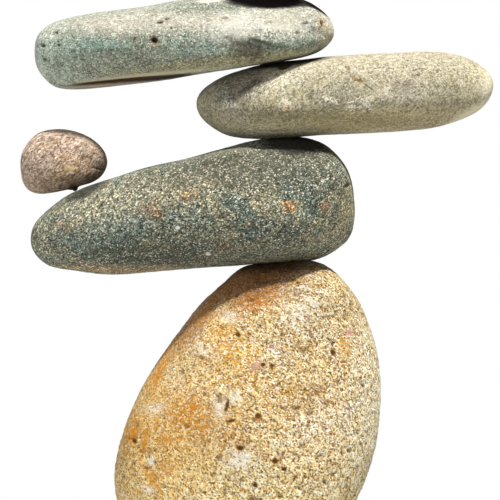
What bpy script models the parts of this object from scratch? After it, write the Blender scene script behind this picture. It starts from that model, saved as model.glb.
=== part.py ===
"""A balanced cairn of six water-worn stones, modelled at its real size.

From the ground up it is a tall buff boulder, a wedge-shaped grey-green cobble with a small
brown pebble perched on its nose, an oval olive cobble, a long blue-grey slab and a dark
capstone.  X runs to the right, Y away from the viewer and Z up.  The origin is on the
ground, under the middle of the cairn's box.

Each stone is one closed body.  Its face-on outline is a smooth loop through a few points,
its depth swells like a river stone's, and broad worn flats, shallow hollows and low
swellings break the roundness.  The stones are then lowered one after another until each
rests on the last.
"""

import math
from dataclasses import dataclass

import bmesh
import bpy
import numpy as np
from mathutils import Vector, noise
from mathutils.bvhtree import BVHTree

MM = 0.001
REST_GAP = 0.3 * MM  # clear gap kept where one stone rests on another
FOOT_SNAP = 1.5 * MM  # corners of the boulder this near the ground are drawn down to it
SPAN_STEPS = 12  # samples between two points of an outline
LONG_DROP = 60.0 * MM  # further than any stone starts above the one that carries it


@dataclass(frozen=True)
class Flat:
    """A broad worn face: its outward direction, how deep it cuts and how flat it is."""

    facing: tuple
    depth: float
    strength: float


@dataclass(frozen=True)
class Hollow:
    """A shallow worn dent: its outward direction, its width and its depth in millimetres."""

    facing: tuple
    width: float
    depth: float


@dataclass(frozen=True)
class Stone:
    """One stone of the cairn, with its sizes in millimetres."""

    name: str
    outline: tuple  # (x, z) points round the face-on outline, anticlockwise or clockwise
    half_depth: float
    middle_y: float
    taper: float  # share by which the right end is deeper than the middle
    fullness: float  # 1 is an elliptical section, lower is squarer
    swelling: float  # height of the low swellings
    seed: int
    cells: tuple  # faces along X, Y and Z
    flats: tuple
    hollows: tuple
    colour: tuple
    roughness: float


BOULDER = Stone(
    name="buff_boulder",
    outline=(
        (-6.5, 167.1), (12.5, 168.5), (28.5, 169.6), (35.5, 167.5), (47.4, 155.5),
        (55.5, 140.0), (61.3, 118.0), (62.2, 100.0), (60.2, 80.0), (56.0, 64.5),
        (49.8, 50.0), (37.0, 27.0), (18.0, 4.0), (-8.0, -8.0), (-38.0, -1.0),
        (-59.0, 22.0), (-69.5, 47.0), (-71.2, 65.0), (-66.5, 86.0), (-56.8, 108.0),
        (-46.3, 124.2), (-37.2, 136.4), (-27.4, 149.2), (-12.0, 163.0),
    ),
    half_depth=54.0,
    middle_y=1.35,
    taper=0.04,
    fullness=0.92,
    swelling=2.6,
    seed=11,
    cells=(13, 11, 17),
    flats=(
        Flat((0.20, -0.95, 0.25), 0.10, 0.65),
        Flat((-0.45, 0.88, 0.10), 0.12, 0.70),
        Flat((0.55, 0.80, -0.25), 0.10, 0.60),
    ),
    hollows=(
        Hollow((-0.42, -0.86, -0.28), 22.0, 2.4),
        Hollow((0.72, 0.62, 0.30), 20.0, 2.6),
        Hollow((-0.62, 0.74, -0.24), 24.0, 2.8),
    ),
    colour=(0.62, 0.50, 0.30),
    roughness=0.86,
)

WEDGE = Stone(
    name="grey_wedge_cobble",
    outline=(
        (-114.0, 181.0), (-112.3, 188.0), (-106.3, 194.0), (-98.5, 200.0), (-86.5, 206.5),
        (-58.5, 214.3), (-42.5, 218.6), (-26.5, 223.2), (-4.0, 228.9), (12.5, 230.3),
        (24.5, 231.4), (34.5, 228.0), (42.5, 220.4), (47.0, 211.8), (49.1, 198.0),
        (48.5, 187.0), (46.4, 180.0), (41.0, 175.2), (32.5, 171.2), (12.5, 168.9),
        (-6.5, 167.6), (-50.5, 164.2), (-68.5, 162.7), (-82.5, 163.6), (-98.5, 165.9),
        (-107.0, 167.0), (-111.4, 171.0), (-113.8, 176.0),
    ),
    half_depth=50.0,
    middle_y=1.0,
    taper=0.22,
    fullness=0.90,
    swelling=2.2,
    seed=23,
    cells=(19, 11, 9),
    flats=(
        Flat((0.05, -0.80, 0.60), 0.10, 0.65),
        Flat((-0.10, -0.90, -0.42), 0.08, 0.60),
        Flat((0.15, 0.95, 0.20), 0.12, 0.70),
    ),
    hollows=(
        Hollow((-0.70, -0.66, 0.10), 16.0, 1.8),
        Hollow((0.62, 0.76, 0.14), 18.0, 2.2),
    ),
    colour=(0.21, 0.23, 0.20),
    roughness=0.82,
)

PEBBLE = Stone(
    name="brown_pebble",
    outline=(
        (-118.5, 218.8), (-117.3, 224.8), (-110.9, 232.8), (-102.5, 235.4), (-94.5, 235.2),
        (-86.5, 232.8), (-80.5, 229.3), (-76.0, 224.3), (-74.5, 219.0), (-76.0, 214.0),
        (-80.0, 209.5), (-86.0, 207.6), (-95.5, 204.9), (-106.5, 202.9), (-113.2, 203.6),
        (-117.1, 207.6), (-118.1, 213.0),
    ),
    half_depth=18.0,
    middle_y=1.0,
    taper=-0.05,
    fullness=0.95,
    swelling=0.6,
    seed=31,
    cells=(9, 8, 7),
    flats=(
        Flat((0.25, -0.90, 0.30), 0.12, 0.60),
        Flat((-0.30, 0.90, -0.15), 0.12, 0.60),
    ),
    hollows=(Hollow((0.60, -0.76, 0.20), 6.0, 0.7),),
    colour=(0.40, 0.28, 0.20),
    roughness=0.85,
)

OVAL = Stone(
    name="olive_oval_cobble",
    outline=(
        (-30.6, 248.0), (-29.5, 253.5), (-22.5, 259.0), (-12.5, 264.2), (0.0, 267.1),
        (13.5, 269.1), (37.5, 272.0), (69.5, 273.8), (90.5, 274.2), (103.0, 272.2),
        (112.8, 267.8), (118.0, 261.5), (118.5, 256.5), (114.8, 248.0), (105.5, 241.2),
        (91.5, 236.8), (70.5, 234.3), (33.5, 232.5), (13.5, 230.9), (-3.0, 230.4),
        (-14.5, 232.0), (-24.0, 236.5), (-29.3, 242.5),
    ),
    half_depth=40.0,
    middle_y=0.0,
    taper=-0.10,
    fullness=0.94,
    swelling=1.5,
    seed=47,
    cells=(19, 10, 7),
    flats=(
        Flat((0.10, -0.75, 0.65), 0.10, 0.55),
        Flat((0.05, 0.90, -0.40), 0.10, 0.60),
    ),
    hollows=(
        Hollow((0.30, -0.94, 0.12), 14.0, 1.3),
        Hollow((-0.55, 0.82, 0.20), 14.0, 1.6),
    ),
    colour=(0.42, 0.38, 0.28),
    roughness=0.80,
)

SLAB = Stone(
    name="blue_grey_slab",
    outline=(
        (-111.5, 274.2), (-110.8, 281.0), (-106.0, 287.4), (-98.5, 290.8), (-80.0, 294.0),
        (-54.5, 297.2), (-42.5, 299.6), (-26.0, 301.6), (-4.0, 302.6), (14.0, 302.0),
        (24.8, 300.2), (34.0, 295.4), (38.4, 288.8), (39.0, 284.0), (37.6, 279.2),
        (28.0, 272.2), (19.5, 270.3), (5.5, 268.6), (-6.5, 266.9), (-30.5, 262.9),
        (-46.5, 260.1), (-78.5, 256.3), (-90.5, 255.1), (-98.5, 255.6), (-106.8, 259.6),
        (-110.6, 266.0),
    ),
    half_depth=44.0,
    middle_y=0.0,
    taper=0.24,
    fullness=0.86,
    swelling=1.6,
    seed=59,
    cells=(19, 11, 7),
    flats=(
        Flat((0.05, -0.62, 0.78), 0.10, 0.70),
        Flat((0.00, 0.85, 0.50), 0.10, 0.65),
        Flat((0.00, -0.88, -0.46), 0.08, 0.60),
    ),
    hollows=(
        Hollow((0.66, -0.75, -0.10), 11.0, 2.0),
        Hollow((-0.50, 0.85, -0.12), 14.0, 1.6),
    ),
    colour=(0.34, 0.38, 0.35),
    roughness=0.72,
)

CAPSTONE = Stone(
    name="dark_capstone",
    outline=(
        (-19.0, 317.0), (-15.5, 327.0), (-4.5, 335.5), (12.0, 339.5), (29.0, 336.5),
        (40.5, 328.5), (44.5, 318.0), (40.5, 309.0), (29.5, 303.6), (12.0, 302.6),
        (-3.5, 303.4), (-14.0, 308.5),
    ),
    half_depth=36.0,
    middle_y=-8.0,
    taper=0.05,
    fullness=0.90,
    swelling=1.2,
    seed=67,
    cells=(10, 11, 7),
    flats=(
        Flat((0.25, -0.85, 0.45), 0.10, 0.60),
        Flat((-0.30, 0.85, 0.30), 0.10, 0.60),
    ),
    hollows=(Hollow((-0.55, -0.80, 0.20), 9.0, 1.0),),
    colour=(0.09, 0.085, 0.08),
    roughness=0.80,
)

# Each stone with the one that carries it, from the ground up.
CARRIED_BY = (
    (WEDGE, BOULDER),
    (PEBBLE, WEDGE),
    (OVAL, WEDGE),
    (SLAB, OVAL),
    (CAPSTONE, SLAB),
)

# The pebble balances on a small knob of its own underside.
KNOB_X = -91.8 * MM
KNOB_WIDTH = 2.8 * MM
KNOB_HEIGHT = 1.35 * MM


def clear_scene():
    """Remove every object that the file opened with."""
    for obj in list(bpy.data.objects):
        bpy.data.objects.remove(obj, do_unlink=True)


def smooth_loop(points):
    """Points along a closed Catmull-Rom curve through the given ones."""
    knots = np.array(points, float)
    before, after, beyond = (np.roll(knots, shift, axis=0) for shift in (1, -1, -2))
    loop = []
    for step in range(SPAN_STEPS):
        t = step / SPAN_STEPS
        loop.append(
            0.5
            * (
                2 * knots
                + (after - before) * t
                + (2 * before - 5 * knots + 4 * after - beyond) * t**2
                + (3 * knots - before - 3 * after + beyond) * t**3
            )
        )
    return np.stack(loop, axis=1).reshape(-1, 2)


class Outline:
    """A stone's face-on outline, as a reach in every direction from its middle."""

    def __init__(self, points):
        loop = smooth_loop(points) * MM
        low, high = loop.min(axis=0), loop.max(axis=0)
        self.middle = (low + high) / 2
        self.half = (high - low) / 2
        round_form = (loop - self.middle) / self.half
        angles = np.arctan2(round_form[:, 1], round_form[:, 0])
        order = np.argsort(angles)
        self.angles = angles[order]
        self.reaches = np.hypot(round_form[:, 0], round_form[:, 1])[order]

    def reach(self, angle):
        """How far the outline lies from the middle, where an ellipse's is 1."""
        return float(np.interp(angle, self.angles, self.reaches, period=math.tau))


def box_grid(cells):
    """A cube from -1 to 1 whose faces are cut into cells, as a bmesh."""
    bm = bmesh.new()
    bmesh.ops.create_cube(bm, size=2.0)
    for axis, count in enumerate(cells):
        along = [
            edge
            for edge in bm.edges
            if abs(edge.verts[0].co[axis] - edge.verts[1].co[axis]) > 1.0
        ]
        bmesh.ops.subdivide_edges(bm, edges=along, cuts=count - 1, use_grid_fill=True)
    return bm


def on_sphere(p):
    """The place on the unit sphere of a point on the cube's surface, evenly spread."""
    x, y, z = (c * c for c in p)
    return Vector(
        (
            p.x * math.sqrt(1 - y / 2 - z / 2 + y * z / 3),
            p.y * math.sqrt(1 - z / 2 - x / 2 + z * x / 3),
            p.z * math.sqrt(1 - x / 2 - y / 2 + x * y / 3),
        )
    ).normalized()


def swell(value, power):
    """A signed power, which squares up a round section when power is below 1."""
    return math.copysign(abs(value) ** power, value)


def place(stone, outline, d):
    """Where the point at direction d of the unit sphere lies on the stone.

    The outline is exact where the stone is seen edge on, and eases to a plain ellipse in
    the middle of its faces.  Returns the point and how near the edge it is, 0 to 1.
    """
    rim = math.hypot(d.x, d.z)
    angle = math.atan2(d.z, d.x)
    reach = 1 + (outline.reach(angle) - 1) * rim**2
    spread = rim**stone.fullness * reach
    across = spread * math.cos(angle)
    depth = stone.half_depth * MM * swell(d.y, stone.fullness)
    return (
        Vector(
            (
                outline.middle[0] + outline.half[0] * across,
                stone.middle_y * MM + depth * (1 + stone.taper * across),
                outline.middle[1] + outline.half[1] * spread * math.sin(angle),
            )
        ),
        rim,
    )


def wear_flat(points, masks, centre, flat):
    """Press the points that stand beyond a worn face back towards it."""
    facing = Vector(flat.facing).normalized()
    heights = [(p - centre).dot(facing) for p in points]
    level = max(heights) * (1 - flat.depth)
    for p, height, mask in zip(points, heights, masks):
        if height > level:
            p -= facing * ((height - level) * flat.strength * mask)


def wear_hollow(points, masks, centre, hollow):
    """Sink the points round a dent's middle, most at the middle itself."""
    facing = Vector(hollow.facing).normalized()
    for p, mask in zip(points, masks):
        arm = p - centre
        height = arm.dot(facing)
        if height > 0:
            aside = (arm - facing * height).length / (hollow.width * MM)
            p -= facing * (hollow.depth * MM * math.exp(-aside * aside) * mask)


def shape_stone(stone):
    """The stone's closed body, as a bmesh in the cairn's own frame."""
    outline = Outline(stone.outline)
    bm = box_grid(stone.cells)
    directions = [on_sphere(v.co) for v in bm.verts]
    placed = [place(stone, outline, d) for d in directions]
    points = [p for p, _ in placed]
    masks = [1 - rim**6 for _, rim in placed]
    centre = Vector((outline.middle[0], stone.middle_y * MM, outline.middle[1]))
    for flat in stone.flats:
        wear_flat(points, masks, centre, flat)
    for hollow in stone.hollows:
        wear_hollow(points, masks, centre, hollow)
    offset = Vector((stone.seed, 0.0, 0.0))
    for v, p, d, mask in zip(bm.verts, points, directions, masks):
        low = noise.noise(d * 1.3 + offset) + 0.4 * noise.noise(d * 2.9 + offset)
        v.co = p + d * (low * stone.swelling * MM * mask)
    bmesh.ops.recalc_face_normals(bm, faces=bm.faces)
    return bm


def grow_knob(bm):
    """Draw a small knob down from the underside of the pebble."""
    lower = [f for f in bm.faces if f.normal.z < -0.8]
    place_y = PEBBLE.middle_y * MM
    seat = min(
        lower,
        key=lambda f: (f.calc_center_median().xy - Vector((KNOB_X, place_y))).length,
    )
    width = math.sqrt(seat.calc_area())
    bmesh.ops.inset_individual(bm, faces=[seat], thickness=(width - KNOB_WIDTH) / 2)
    tip = bmesh.ops.extrude_discrete_faces(bm, faces=[seat])["faces"][0]
    middle = tip.calc_center_median()
    for v in tip.verts:
        v.co = middle + (v.co - middle) * 0.75 - Vector((0, 0, KNOB_HEIGHT))


def stand_flat(bm):
    """Cut the boulder off level at the ground, and close the cut."""
    for v in bm.verts:
        if abs(v.co.z) < FOOT_SNAP:
            v.co.z = 0.0
    cut = bmesh.ops.bisect_plane(
        bm,
        geom=bm.verts[:] + bm.edges[:] + bm.faces[:],
        dist=1e-6,
        plane_co=(0, 0, 0),
        plane_no=(0, 0, -1),
        clear_outer=True,
    )
    rim = [g for g in cut["geom_cut"] if isinstance(g, bmesh.types.BMEdge)]
    bmesh.ops.contextual_create(bm, geom=rim)


def clearance(upper, lower):
    """The least height between two stones, measured straight up and down."""
    above, below = BVHTree.FromBMesh(upper), BVHTree.FromBMesh(lower)
    gaps = []
    for v in upper.verts:
        start = v.co + Vector((0, 0, LONG_DROP))
        hit = below.ray_cast(start, Vector((0, 0, -1)), 3 * LONG_DROP)[0]
        if hit and v.normal.z < 0:
            gaps.append(v.co.z - hit.z)
    for v in lower.verts:
        start = v.co - Vector((0, 0, LONG_DROP))
        hit = above.ray_cast(start, Vector((0, 0, 1)), 3 * LONG_DROP)[0]
        if hit and v.normal.z > 0:
            gaps.append(hit.z - v.co.z)
    return min(gaps)


def settle(bodies):
    """Lower or lift each stone until it rests on the one that carries it."""
    for upper, lower in CARRIED_BY:
        drop = clearance(bodies[upper.name], bodies[lower.name]) - REST_GAP
        bmesh.ops.translate(
            bodies[upper.name], verts=bodies[upper.name].verts, vec=(0, 0, -drop)
        )


def stone_material(stone):
    """A plain dull finish in the stone's own colour."""
    material = bpy.data.materials.new(stone.name)
    material.use_nodes = True
    shader = material.node_tree.nodes["Principled BSDF"]
    shader.inputs["Base Color"].default_value = (*stone.colour, 1.0)
    shader.inputs["Roughness"].default_value = stone.roughness
    shader.inputs["Metallic"].default_value = 0.0
    return material


def add_object(stone, bm):
    """Turn a body into a named, smooth-shaded object with its material."""
    mesh = bpy.data.meshes.new(stone.name)
    bm.to_mesh(mesh)
    bm.free()
    mesh.shade_smooth()
    mesh.materials.append(stone_material(stone))
    obj = bpy.data.objects.new(stone.name, mesh)
    bpy.context.scene.collection.objects.link(obj)
    return obj


def main():
    clear_scene()
    stones = (BOULDER, WEDGE, PEBBLE, OVAL, SLAB, CAPSTONE)
    bodies = {stone.name: shape_stone(stone) for stone in stones}
    stand_flat(bodies[BOULDER.name])
    grow_knob(bodies[PEBBLE.name])
    for bm in bodies.values():
        bm.normal_update()
    settle(bodies)
    for stone in stones:
        add_object(stone, bodies[stone.name])


main()
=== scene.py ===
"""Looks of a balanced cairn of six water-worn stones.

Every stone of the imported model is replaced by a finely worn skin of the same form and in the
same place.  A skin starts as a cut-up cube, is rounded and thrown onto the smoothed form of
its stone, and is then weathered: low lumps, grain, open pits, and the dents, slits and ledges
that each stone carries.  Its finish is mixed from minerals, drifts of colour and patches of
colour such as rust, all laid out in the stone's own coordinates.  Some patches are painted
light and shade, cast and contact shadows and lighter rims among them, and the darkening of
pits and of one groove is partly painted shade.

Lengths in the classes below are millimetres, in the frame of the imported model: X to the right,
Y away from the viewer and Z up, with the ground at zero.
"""

import logging
import math
from dataclasses import dataclass
from enum import Enum

import bmesh
import bpy
import numpy as np
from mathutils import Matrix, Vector, noise
from mathutils.bvhtree import BVHTree


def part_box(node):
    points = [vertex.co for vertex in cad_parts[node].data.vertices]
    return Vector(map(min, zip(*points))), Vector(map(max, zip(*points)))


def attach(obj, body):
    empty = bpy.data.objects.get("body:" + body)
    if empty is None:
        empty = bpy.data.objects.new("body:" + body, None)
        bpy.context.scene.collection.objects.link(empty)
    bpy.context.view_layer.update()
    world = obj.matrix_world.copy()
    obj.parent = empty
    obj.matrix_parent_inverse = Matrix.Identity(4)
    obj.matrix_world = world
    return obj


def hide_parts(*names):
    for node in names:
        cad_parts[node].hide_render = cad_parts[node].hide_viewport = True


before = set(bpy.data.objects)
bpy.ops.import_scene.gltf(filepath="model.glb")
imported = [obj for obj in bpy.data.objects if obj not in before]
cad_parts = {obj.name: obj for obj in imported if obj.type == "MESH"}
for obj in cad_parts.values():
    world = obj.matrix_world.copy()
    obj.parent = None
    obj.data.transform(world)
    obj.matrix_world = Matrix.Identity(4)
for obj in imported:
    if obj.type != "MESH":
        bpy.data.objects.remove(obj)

MM = 0.001
ORIGIN = (0.0, 0.0, 0.0)
LOG = logging.getLogger("cairn")

Colour = tuple[float, float, float]
Socket = bpy.types.NodeSocket


# ------------------------------
# Node trees
# ------------------------------


class Bench:
    """A node tree with short ways to add nodes to it and to join them."""

    def __init__(self, tree: bpy.types.NodeTree) -> None:
        """Start work on a tree.

        Args:
            tree: The material's or the group's node tree.
        """
        self.tree = tree

    def feed(self, socket: Socket, value: object) -> None:
        """Give an input its value, or join it to another node's output.

        Args:
            socket: The input.
            value: A number, a colour, a vector or an output socket.
        """
        if isinstance(value, bpy.types.NodeSocket):
            self.tree.links.new(value, socket)
        elif socket.type == "RGBA":
            socket.default_value = (*value[:3], 1.0)
        else:
            socket.default_value = value

    def add(self, kind: str, settings: dict | None = None, **values: object) -> bpy.types.Node:
        """Add a node.

        Args:
            kind: The node's type name.
            settings: Its properties, such as an operation.
            values: Its inputs by name, with an underscore for each space.

        Returns:
            The new node.
        """
        node = self.tree.nodes.new(kind)
        for key, value in (settings or {}).items():
            setattr(node, key, value)
        for key, value in values.items():
            self.feed(node.inputs[key.replace("_", " ")], value)
        return node

    def calc(self, operation: str, *values: object, clamp: bool = False) -> Socket:
        """Work out a number.

        Args:
            operation: The Math node's operation.
            values: Its inputs in order.
            clamp: Whether the result is held between 0 and 1.

        Returns:
            The result.
        """
        node = self.add("ShaderNodeMath", {"operation": operation, "use_clamp": clamp})
        for socket, value in zip(node.inputs, values):
            self.feed(socket, value)
        return node.outputs[0]

    def aim(self, operation: str, *values: object) -> Socket:
        """Work out a vector, or its length.

        Args:
            operation: The Vector Math node's operation.
            values: Its vector inputs in order.

        Returns:
            The vector, or the number where the operation gives one.
        """
        node = self.add("ShaderNodeVectorMath", {"operation": operation})
        for socket, value in zip(node.inputs, values):
            self.feed(socket, value)
        return node.outputs["Value" if operation == "LENGTH" else "Vector"]

    def grow(self, vector: Socket, factor: object) -> Socket:
        """Scale a vector by a number.

        Args:
            vector: The vector.
            factor: The number, or the socket that gives it.

        Returns:
            The scaled vector.
        """
        node = self.add("ShaderNodeVectorMath", {"operation": "SCALE"}, Scale=factor)
        self.feed(node.inputs[0], vector)
        return node.outputs["Vector"]

    def ramp(self, value: Socket, low: object, high: object) -> Socket:
        """A smooth climb from 0 where a value is low to 1 where it is high.

        Args:
            value: The value.
            low: Where the climb starts.
            high: Where it ends.

        Returns:
            The climb, from 0 to 1.
        """
        node = self.add(
            "ShaderNodeMapRange",
            {"interpolation_type": "SMOOTHSTEP"},
            Value=value, From_Min=low, From_Max=high,
        )
        return node.outputs["Result"]

    def blend(self, below: object, above: object, share: object, mode: str = "MIX") -> Socket:
        """Lay one colour over another.

        Args:
            below: The colour underneath.
            above: The colour on top.
            share: How much of the top colour shows, from 0 to 1.
            mode: The Mix node's blend type.

        Returns:
            The mixed colour.
        """
        node = self.add("ShaderNodeMix", {"data_type": "RGBA", "blend_type": mode})
        self.feed(node.inputs[0], share)
        self.feed(node.inputs[6], below)
        self.feed(node.inputs[7], above)
        return node.outputs[2]


class Effect:
    """A shader node group with named inputs and outputs, built once and shared."""

    def __init__(self, name: str, inputs: dict[str, object], outputs: dict[str, str]) -> None:
        """Make the empty group.

        Args:
            name: The group's name.
            inputs: Each input's name with its starting value; a tuple makes a vector.
            outputs: Each output's name with its socket type.
        """
        self.tree = bpy.data.node_groups.new(name, "ShaderNodeTree")
        for key, value in inputs.items():
            kind = "NodeSocketVector" if isinstance(value, tuple) else "NodeSocketFloat"
            socket = self.tree.interface.new_socket(key, in_out="INPUT", socket_type=kind)
            socket.default_value = value
        for key, kind in outputs.items():
            self.tree.interface.new_socket(key, in_out="OUTPUT", socket_type=kind)
        self.bench = Bench(self.tree)
        self.given = self.bench.add("NodeGroupInput").outputs
        self.result = self.bench.add("NodeGroupOutput").inputs

    def place(self, bench: Bench, **values: object) -> bpy.types.Node:
        """Put the group into a material.

        Args:
            bench: The material's bench.
            values: The group's inputs by name, with an underscore for each space.

        Returns:
            The group's node there.
        """
        return bench.add("ShaderNodeGroup", {"node_tree": self.tree}, **values)


def make_drift() -> Effect:
    """Soft-edged patches or thin veins of a chosen size, from fractal noise.

    Returns:
        The group: its Mask is 0 where the noise is under Low and 1 where it is over High.  Its
        Vein is 1 along the lines where the noise is close to one half.
    """
    effect = Effect(
        "stone_drift",
        {"Vector": ORIGIN, "Size": 10.0, "Low": 0.5, "High": 0.6, "Detail": 3.0, "Seed": 0.0},
        {"Mask": "NodeSocketFloat", "Vein": "NodeSocketFloat"},
    )
    bench, given = effect.bench, effect.given
    texture = bench.add(
        "ShaderNodeTexNoise",
        {"noise_dimensions": "4D"},
        Vector=given["Vector"],
        W=given["Seed"],
        Scale=bench.calc("DIVIDE", 1.0 / MM, given["Size"]),
        Detail=given["Detail"],
        Roughness=0.6,
    )
    mask = bench.ramp(texture.outputs["Fac"], given["Low"], given["High"])
    bench.feed(effect.result["Mask"], mask)
    away = bench.calc("ABSOLUTE", bench.calc("SUBTRACT", texture.outputs["Fac"], 0.5))
    vein = bench.calc("SUBTRACT", 1.0, bench.ramp(away, given["Low"], given["High"]))
    bench.feed(effect.result["Vein"], vein)
    return effect


def make_minerals() -> Effect:
    """A crowd of mineral grains, each with numbers of its own.

    Returns:
        The group: Pick and Tint are two random numbers for each grain, Dome is 1 in a grain's
        middle and falls to 0 at its edge, Seam is 1 in the gaps between the grains.
    """
    outputs = ("Pick", "Tint", "Dome", "Seam")
    effect = Effect(
        "stone_minerals",
        {"Vector": ORIGIN, "Size": 1.5, "Warp": 0.5, "Seed": 0.0},
        {name: "NodeSocketFloat" for name in outputs},
    )
    bench, given = effect.bench, effect.given
    scale = bench.calc("DIVIDE", 1.0 / MM, given["Size"])
    place = bench.grow(given["Vector"], scale)
    stir = bench.add("ShaderNodeTexNoise", Vector=place, Scale=1.7, Detail=2.0, Roughness=0.7)
    push = bench.grow(bench.aim("SUBTRACT", stir.outputs["Color"], (0.5, 0.5, 0.5)), given["Warp"])
    crowd = bench.add(
        "ShaderNodeTexVoronoi",
        {"voronoi_dimensions": "4D"},
        Vector=bench.aim("ADD", place, bench.grow(push, 2.0)),
        W=given["Seed"],
        Scale=1.0,
    )
    numbers = bench.add("ShaderNodeSeparateColor", Color=crowd.outputs["Color"])
    bench.feed(effect.result["Pick"], numbers.outputs["Red"])
    bench.feed(effect.result["Tint"], numbers.outputs["Green"])
    dome = bench.calc("SUBTRACT", 1.0, crowd.outputs["Distance"], clamp=True)
    bench.feed(effect.result["Dome"], dome)
    bench.feed(effect.result["Seam"], bench.ramp(crowd.outputs["Distance"], 0.5, 0.85))
    return effect


def make_patch() -> Effect:
    """One patch in a chosen place, with a ragged edge.

    Returns:
        The group: its Mask is 1 in the patch's middle and falls to 0 round its edge.
    """
    effect = Effect(
        "stone_patch",
        {
            "Vector": ORIGIN,
            "Middle": ORIGIN,
            "Turn": ORIGIN,
            "Reach": (0.01, 0.01, 0.01),
            "Wobble": 0.5,
            "Ragged": 0.5,
            "Soft": 0.4,
        },
        {"Mask": "NodeSocketFloat"},
    )
    bench, given = effect.bench, effect.given
    local = bench.add(
        "ShaderNodeMapping",
        {"vector_type": "TEXTURE"},
        Vector=given["Vector"],
        Location=given["Middle"],
        Rotation=given["Turn"],
        Scale=given["Reach"],
    )
    away = bench.aim("LENGTH", local.outputs["Vector"])
    frayed = bench.calc(
        "MULTIPLY_ADD", bench.calc("SUBTRACT", given["Wobble"], 0.5), given["Ragged"], away
    )
    inner = bench.calc("SUBTRACT", 1.0, given["Soft"])
    outer = bench.calc("ADD", 1.0, given["Soft"])
    mask = bench.calc("SUBTRACT", 1.0, bench.ramp(frayed, inner, outer))
    bench.feed(effect.result["Mask"], mask)
    return effect


TINT_TOP = 4.0  # the strongest tint of a grain
TINT_LEAST = 0.4  # how far the least tinted grain takes its tint
SPECULAR = 0.12  # dry stone hardly shines
DIFFUSE_ROUGHNESS = 0.8
BROAD = 3.3  # millimetres: the noise that frays plain stains and dulls the gloss here and there
FINE = 0.8  # millimetres: the noise of the finest relief
FINE_RISE = 0.6  # how high that relief stands beside the grains
CLUMP_SHARE, LOOSE_SHARE, LOOSE_SHIFT = 0.8, 0.55, -0.085  # what frays a crumbly stain

DRIFT = make_drift()
MINERALS = make_minerals()
PATCH = make_patch()


# ------------------------------
# Finishes
# ------------------------------


@dataclass(frozen=True)
class Drift:
    """Colour that comes and goes over a stone in soft patches of one size.

    It shows where a noise climbs from low to high, or, as a vein, where the noise lies closer
    to its middle than low to high.  Its lift raises the finest relief there, or lowers it where
    it is negative.
    """

    colour: Colour
    size: float
    low: float
    high: float
    strength: float
    seed: float
    detail: float = 3.0
    lift: float = 0.0
    vein: bool = False


@dataclass(frozen=True)
class StainAndLight:
    """One patch of colour in a chosen place, seen face-on; across is its turn in degrees.

    Long and wide are half its length and width.  Deep is how far it reaches along Y from the
    stone's front, or from y where that is given.  Soft is how gently its edge fades, ragged is
    how far noise frays it, and a crumbly one is frayed grain by grain.  Besides the stone's own
    colour, some of these patches are painted light and shade: cast shadows, dark contact lines
    and lighter rims.
    """

    x: float
    z: float
    long: float
    wide: float
    colour: Colour
    strength: float
    across: float = 0.0
    soft: float = 0.5
    ragged: float = 1.2
    deep: float = 30.0
    y: float | None = None
    crumbly: bool = False


# Clouds hold real colour and also painted shade.
@dataclass(frozen=True)
class Cloud(StainAndLight):
    """A stain with a very soft edge."""

    soft: float = 0.8


@dataclass(frozen=True)
class Crumbs(StainAndLight):
    """A stain that breaks up into single grains."""

    ragged: float = 5.0
    crumbly: bool = True


@dataclass(frozen=True)
class Flakes(Crumbs):
    """Crumbs with a firmer edge."""

    soft: float = 0.3


@dataclass(frozen=True)
class Grains:
    """A crowd of mineral grains: each tint with the share of the grains that have it.

    A tint multiplies the colour underneath, up to TINT_TOP times.  The seams between the grains
    are filled with the pit colour, as strongly as seam says.
    """

    size: float
    tints: tuple[tuple[float, Colour], ...]
    strength: float
    seed: float
    warp: float = 0.5
    seam: float = 0.0


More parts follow.
